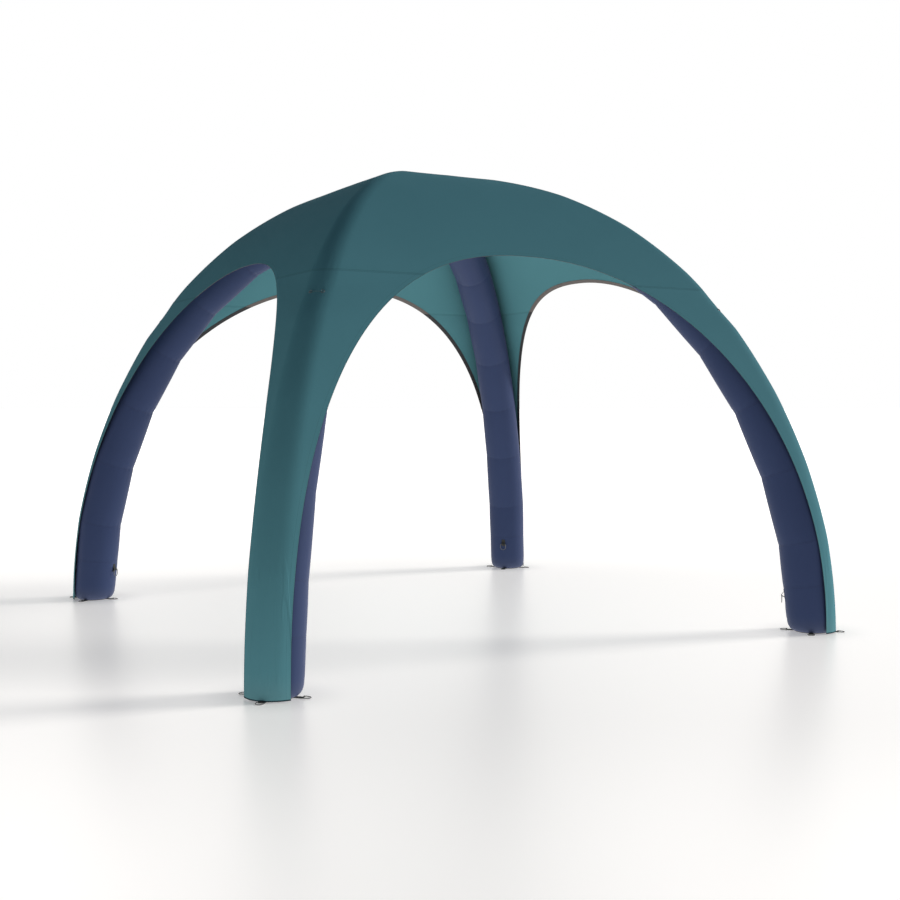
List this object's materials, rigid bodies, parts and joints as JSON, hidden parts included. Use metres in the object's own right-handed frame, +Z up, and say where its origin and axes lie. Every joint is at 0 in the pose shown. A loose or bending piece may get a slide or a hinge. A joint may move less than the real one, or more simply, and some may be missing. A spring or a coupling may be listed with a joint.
{
  "type": "inflatable tent",
  "caption": "Open-sided inflatable event tent: air-filled legs curve up from the corners to a common crown under a stretched, domed fabric canopy.",
  "frame": {"origin": "on the ground under the crown, in the middle of the square footprint", "axes": "+Z up; X and Y run along the sides of the square footprint, with the feet on the diagonals; -Y is the front, the side that the picture shows on the right of the near leg"},
  "size_m": [3.9832, 3.9832, 3.018],
  "materials": {
    "tube_fabric": "satin woven polyester, matt side out",
    "canopy_fabric": "fine matt woven polyester",
    "hem_tape": "flat woven binding",
    "webbing": "coarse flat webbing",
    "ring_steel": "dark satin wire",
    "bladder_film": "milky clear film",
    "valve_plastic": "black moulded, fine grain"
  },
  "bodies": {
    "tent": {"air_bladder": "bladder_film", "arch_hem_back": "hem_tape", "arch_hem_front": "hem_tape", "arch_hem_left": "hem_tape", "arch_hem_right": "hem_tape", "canopy_roof": "canopy_fabric", "foot_pad_back_left": "webbing", "foot_pad_back_right": "webbing", "foot_pad_front_left": "webbing", "foot_pad_front_right": "webbing", "inner_tab_back_left": "webbing", "inner_tab_back_right": "webbing", "inner_tab_front_left": "webbing", "inner_tab_front_right": "webbing", "leg_cover_back_left": "canopy_fabric", "leg_cover_back_right": "canopy_fabric", "leg_cover_front_left": "canopy_fabric", "leg_cover_front_right": "canopy_fabric", "relief_valve": "valve_plastic", "tube_sleeve_back_left": "tube_fabric", "tube_sleeve_back_right": "tube_fabric", "tube_sleeve_front_left": "tube_fabric", "tube_sleeve_front_right": "tube_fabric", "upper_patch_back_left": "webbing", "upper_patch_back_right": "webbing", "upper_patch_front_left": "webbing", "upper_patch_front_right": "webbing", "valve_body": "valve_plastic"},
    "ground_ring_back_right_outer": {"ground_ring_back_right_outer": "ring_steel"},
    "ground_ring_back_right_right": {"ground_ring_back_right_right": "ring_steel"},
    "ground_ring_back_right_inner": {"ground_ring_back_right_inner": "ring_steel"},
    "ground_ring_back_right_left": {"ground_ring_back_right_left": "ring_steel"},
    "ground_ring_back_left_outer": {"ground_ring_back_left_outer": "ring_steel"},
    "ground_ring_back_left_right": {"ground_ring_back_left_right": "ring_steel"},
    "ground_ring_back_left_inner": {"ground_ring_back_left_inner": "ring_steel"},
    "ground_ring_back_left_left": {"ground_ring_back_left_left": "ring_steel"},
    "ground_ring_front_left_outer": {"ground_ring_front_left_outer": "ring_steel"},
    "ground_ring_front_left_right": {"ground_ring_front_left_right": "ring_steel"},
    "ground_ring_front_left_inner": {"ground_ring_front_left_inner": "ring_steel"},
    "ground_ring_front_left_left": {"ground_ring_front_left_left": "ring_steel"},
    "ground_ring_front_right_outer": {"ground_ring_front_right_outer": "ring_steel"},
    "ground_ring_front_right_right": {"ground_ring_front_right_right": "ring_steel"},
    "ground_ring_front_right_inner": {"ground_ring_front_right_inner": "ring_steel"},
    "ground_ring_front_right_left": {"ground_ring_front_right_left": "ring_steel"},
    "inner_ring_back_right": {"inner_ring_back_right": "ring_steel"},
    "inner_ring_back_left": {"inner_ring_back_left": "ring_steel"},
    "inner_ring_front_left": {"inner_ring_front_left": "ring_steel"},
    "inner_ring_front_right": {"inner_ring_front_right": "ring_steel"},
    "upper_ring_back_right_right": {"upper_ring_back_right_right": "ring_steel"},
    "upper_ring_back_right_left": {"upper_ring_back_right_left": "ring_steel"},
    "upper_ring_back_left_right": {"upper_ring_back_left_right": "ring_steel"},
    "upper_ring_back_left_left": {"upper_ring_back_left_left": "ring_steel"},
    "upper_ring_front_left_right": {"upper_ring_front_left_right": "ring_steel"},
    "upper_ring_front_left_left": {"upper_ring_front_left_left": "ring_steel"},
    "upper_ring_front_right_right": {"upper_ring_front_right_right": "ring_steel"},
    "upper_ring_front_right_left": {"upper_ring_front_right_left": "ring_steel"},
    "valve_cap": {"valve_cap": "valve_plastic"},
    "valve_plunger": {"valve_plunger": "valve_plastic"}
  },
  "joints": [
    {"name": "ground_ring_back_right_outer_lift", "type": "hinge", "parent": "tent", "child": "ground_ring_back_right_outer", "pos_m": [1.95515, 1.95515, 0.0043], "axis": [0.7071, -0.7071, 0], "range_deg": [0, 90]},
    {"name": "ground_ring_back_right_right_lift", "type": "hinge", "parent": "tent", "child": "ground_ring_back_right_right", "pos_m": [1.72958, 1.94737, 0.0043], "axis": [0.7071, 0.7071, 0], "range_deg": [0, 90]},
    {"name": "ground_ring_back_right_inner_lift", "type": "hinge", "parent": "tent", "child": "ground_ring_back_right_inner", "pos_m": [1.72958, 1.72958, 0.0043], "axis": [-0.7071, 0.7071, 0], "range_deg": [0, 90]},
    {"name": "ground_ring_back_right_left_lift", "type": "hinge", "parent": "tent", "child": "ground_ring_back_right_left", "pos_m": [1.94737, 1.72958, 0.0043], "axis": [-0.7071, -0.7071, 0], "range_deg": [0, 90]},
    {"name": "ground_ring_back_left_outer_lift", "type": "hinge", "parent": "tent", "child": "ground_ring_back_left_outer", "pos_m": [-1.95515, 1.95515, 0.0043], "axis": [0.7071, 0.7071, 0], "range_deg": [0, 90]},
    {"name": "ground_ring_back_left_right_lift", "type": "hinge", "parent": "tent", "child": "ground_ring_back_left_right", "pos_m": [-1.94737, 1.72958, 0.0043], "axis": [-0.7071, 0.7071, 0], "range_deg": [0, 90]},
    {"name": "ground_ring_back_left_inner_lift", "type": "hinge", "parent": "tent", "child": "ground_ring_back_left_inner", "pos_m": [-1.72958, 1.72958, 0.0043], "axis": [-0.7071, -0.7071, 0], "range_deg": [0, 90]},
    {"name": "ground_ring_back_left_left_lift", "type": "hinge", "parent": "tent", "child": "ground_ring_back_left_left", "pos_m": [-1.72958, 1.94737, 0.0043], "axis": [0.7071, -0.7071, 0], "range_deg": [0, 90]},
    {"name": "ground_ring_front_left_outer_lift", "type": "hinge", "parent": "tent", "child": "ground_ring_front_left_outer", "pos_m": [-1.95515, -1.95515, 0.0043], "axis": [-0.7071, 0.7071, 0], "range_deg": [0, 90]},
    {"name": "ground_ring_front_left_right_lift", "type": "hinge", "parent": "tent", "child": "ground_ring_front_left_right", "pos_m": [-1.72958, -1.94737, 0.0043], "axis": [-0.7071, -0.7071, 0], "range_deg": [0, 90]},
    {"name": "ground_ring_front_left_inner_lift", "type": "hinge", "parent": "tent", "child": "ground_ring_front_left_inner", "pos_m": [-1.72958, -1.72958, 0.0043], "axis": [0.7071, -0.7071, 0], "range_deg": [0, 90]},
    {"name": "ground_ring_front_left_left_lift", "type": "hinge", "parent": "tent", "child": "ground_ring_front_left_left", "pos_m": [-1.94737, -1.72958, 0.0043], "axis": [0.7071, 0.7071, 0], "range_deg": [0, 90]},
    {"name": "ground_ring_front_right_outer_lift", "type": "hinge", "parent": "tent", "child": "ground_ring_front_right_outer", "pos_m": [1.95515, -1.95515, 0.0043], "axis": [-0.7071, -0.7071, 0], "range_deg": [0, 90]},
    {"name": "ground_ring_front_right_right_lift", "type": "hinge", "parent": "tent", "child": "ground_ring_front_right_right", "pos_m": [1.94737, -1.72958, 0.0043], "axis": [0.7071, -0.7071, 0], "range_deg": [0, 90]},
    {"name": "ground_ring_front_right_inner_lift", "type": "hinge", "parent": "tent", "child": "ground_ring_front_right_inner", "pos_m": [1.72958, -1.72958, 0.0043], "axis": [0.7071, 0.7071, 0], "range_deg": [0, 90]},
    {"name": "ground_ring_front_right_left_lift", "type": "hinge", "parent": "tent", "child": "ground_ring_front_right_left", "pos_m": [1.72958, -1.94737, 0.0043], "axis": [-0.7071, 0.7071, 0], "range_deg": [0, 90]},
    {"name": "inner_ring_back_right_swing", "type": "hinge", "parent": "tent", "child": "inner_ring_back_right", "pos_m": [1.7079, 1.7079, 0.22305], "axis": [-0.7071, 0.7071, 0], "range_deg": [-15, 150]},
    {"name": "inner_ring_back_left_swing", "type": "hinge", "parent": "tent", "child": "inner_ring_back_left", "pos_m": [-1.7079, 1.7079, 0.22305], "axis": [-0.7071, -0.7071, 0], "range_deg": [-15, 150]},
    {"name": "inner_ring_front_left_swing", "type": "hinge", "parent": "tent", "child": "inner_ring_front_left", "pos_m": [-1.7079, -1.7079, 0.22305], "axis": [0.7071, -0.7071, 0], "range_deg": [-15, 150]},
    {"name": "inner_ring_front_right_swing", "type": "hinge", "parent": "tent", "child": "inner_ring_front_right", "pos_m": [1.7079, -1.7079, 0.22305], "axis": [0.7071, 0.7071, 0], "range_deg": [-15, 150]},
    {"name": "upper_ring_back_right_right_lift", "type": "hinge", "parent": "tent", "child": "upper_ring_back_right_right", "pos_m": [1.40048, 1.43892, 2.07008], "axis": [0.4587, 0.4587, -0.761], "range_deg": [0, 150]},
    {"name": "upper_ring_back_right_left_lift", "type": "hinge", "parent": "tent", "child": "upper_ring_back_right_left", "pos_m": [1.43892, 1.40048, 2.07008], "axis": [-0.4587, -0.4587, 0.761], "range_deg": [0, 150]},
    {"name": "upper_ring_back_left_right_lift", "type": "hinge", "parent": "tent", "child": "upper_ring_back_left_right", "pos_m": [-1.43892, 1.40048, 2.07008], "axis": [-0.4587, 0.4587, -0.761], "range_deg": [0, 150]},
    {"name": "upper_ring_back_left_left_lift", "type": "hinge", "parent": "tent", "child": "upper_ring_back_left_left", "pos_m": [-1.40048, 1.43892, 2.07008], "axis": [0.4587, -0.4587, 0.761], "range_deg": [0, 150]},
    {"name": "upper_ring_front_left_right_lift", "type": "hinge", "parent": "tent", "child": "upper_ring_front_left_right", "pos_m": [-1.40048, -1.43892, 2.07008], "axis": [-0.4587, -0.4587, -0.761], "range_deg": [0, 150]},
    {"name": "upper_ring_front_left_left_lift", "type": "hinge", "parent": "tent", "child": "upper_ring_front_left_left", "pos_m": [-1.43892, -1.40048, 2.07008], "axis": [0.4587, 0.4587, 0.761], "range_deg": [0, 150]},
    {"name": "upper_ring_front_right_right_lift", "type": "hinge", "parent": "tent", "child": "upper_ring_front_right_right", "pos_m": [1.43892, -1.40048, 2.07008], "axis": [0.4587, -0.4587, -0.761], "range_deg": [0, 150]},
    {"name": "upper_ring_front_right_left_lift", "type": "hinge", "parent": "tent", "child": "upper_ring_front_right_left", "pos_m": [1.40048, -1.43892, 2.07008], "axis": [-0.4587, 0.4587, 0.761], "range_deg": [0, 150]},
    {"name": "valve_cap_turn", "type": "hinge", "parent": "tent", "child": "valve_cap", "pos_m": [-1.70228, -1.70228, 0.44], "axis": [0.7024, 0.7024, -0.1147], "range_deg": [0, 90]},
    {"name": "valve_plunger_press", "type": "slide", "parent": "tent", "child": "valve_plunger", "axis": [-0.7024, -0.7024, 0.1147], "range_m": [0, 0.004], "stiffness_N_per_m": 500}
  ]
}
